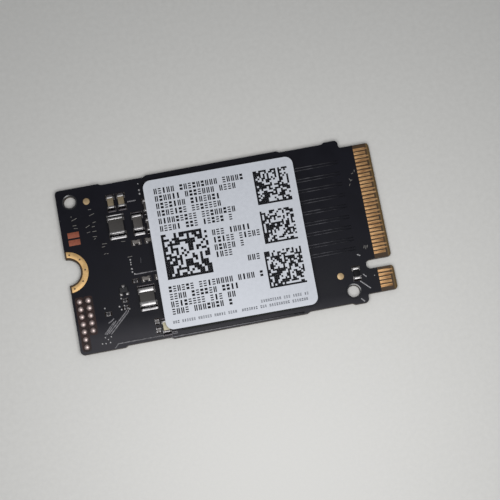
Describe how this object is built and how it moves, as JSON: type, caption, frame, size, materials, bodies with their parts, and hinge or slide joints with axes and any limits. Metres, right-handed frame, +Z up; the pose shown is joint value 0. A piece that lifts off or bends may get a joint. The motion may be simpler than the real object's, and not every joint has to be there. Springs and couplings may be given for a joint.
{
  "type": "solid state drive",
  "caption": "Slim rectangular storage card with a keyed gold card edge at one end, a half-round screw notch at the other, a labelled memory package and soldered chip parts.",
  "frame": {"origin": "middle of the board's outline, on its underside", "axes": "+X from the screw end to the card edge, +Y away from the key notch, +Z up from the underside"},
  "size_m": [0.042, 0.022, 0.0022],
  "materials": {
    "laminate": "woven glass laminate, cut edges",
    "solder_mask": "black film, satin",
    "gold": "thin gold plating, satin",
    "copper": "bare copper, dull",
    "solder": "bright tin solder",
    "terminal": "tin plated",
    "tan_ceramic": "matt fired ceramic",
    "grey_ceramic": "matt fired ceramic",
    "grey_ferrite": "pressed metal powder, matt",
    "resistor_black": "black glaze",
    "mould": "moulded epoxy, matt",
    "substrate": "thin package laminate",
    "label": "coated label stock, satin"
  },
  "bodies": {
    "root": {"circuit_board": "laminate", "component_pads": "solder", "contacts_bottom": "gold", "copper_test_pads": "copper", "edge_capacitor_body": "grey_ceramic", "edge_capacitor_solder": "solder", "edge_capacitor_terminals": "terminal", "fiducials": "gold", "filter_capacitor_body": "tan_ceramic", "filter_capacitor_solder": "solder", "filter_capacitor_terminals": "terminal", "ground_contacts_top": "gold", "input_inductor_body": "grey_ferrite", "input_inductor_solder": "solder", "input_inductor_terminals": "terminal", "label": "label", "output_capacitor_body": "grey_ceramic", "output_capacitor_solder": "solder", "output_capacitor_terminals": "terminal", "package_balls": "solder", "package_mould": "mould", "package_substrate": "substrate", "power_inductor_body": "grey_ferrite", "power_inductor_solder": "solder", "power_inductor_terminals": "terminal", "pull_up_resistor_body": "resistor_black", "pull_up_resistor_solder": "solder", "pull_up_resistor_terminals": "terminal", "screw_land_bottom": "gold", "screw_land_top": "gold", "signal_contacts_top": "gold", "small_capacitor_body": "grey_ceramic", "small_capacitor_solder": "solder", "small_capacitor_terminals": "terminal", "solder_domes": "solder", "solder_mask_bottom": "solder_mask", "solder_mask_top": "solder_mask", "tiny_resistor_body": "resistor_black", "tiny_resistor_solder": "solder", "tiny_resistor_terminals": "terminal", "transistor_body": "mould", "transistor_leads": "terminal"}
  },
  "joints": []
}
